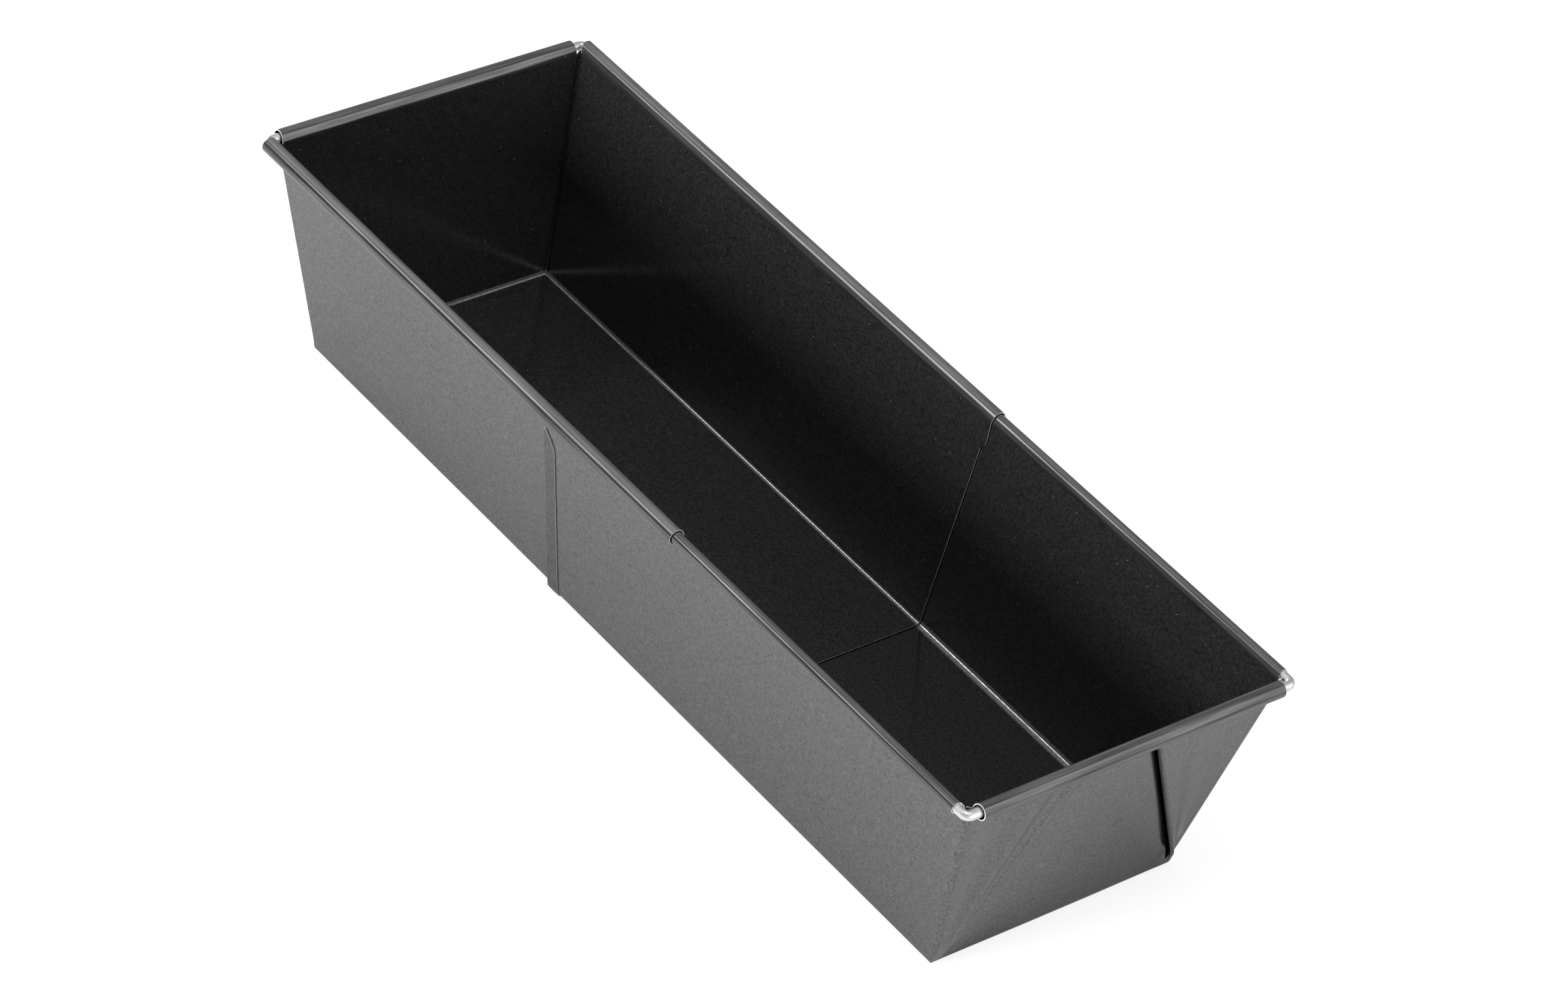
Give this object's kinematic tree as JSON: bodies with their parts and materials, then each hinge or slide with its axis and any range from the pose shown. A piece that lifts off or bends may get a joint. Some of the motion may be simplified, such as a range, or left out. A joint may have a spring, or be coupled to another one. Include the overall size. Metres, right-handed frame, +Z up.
{
  "type": "adjustable loaf pan",
  "caption": "Extending loaf pan: two dark-coated folded sheet-steel trays that slide into each other, with rolled rims over bent rim wires.",
  "frame": {"origin": "centre of the pan's base, at the height of the surface it stands on", "axes": "+X along the pan's length, towards the outer tray's closed end; +Y across the pan; +Z up"},
  "size_m": [0.3216, 0.1146, 0.0719],
  "materials": {
    "tray_coating": "satin anthracite non-stick coating on thin sheet steel",
    "rim_wire": "bright drawn steel wire"
  },
  "bodies": {
    "outer_tray": {"outer_tray": "tray_coating", "outer_tray_rim_wire": "rim_wire"},
    "inner_tray": {"inner_tray": "tray_coating", "inner_tray_rim_wire": "rim_wire"}
  },
  "joints": [
    {"name": "tray_extension", "type": "slide", "parent": "outer_tray", "child": "inner_tray", "axis": [-1, 0, 0], "range_m": [-0.105, 0.035]}
  ]
}
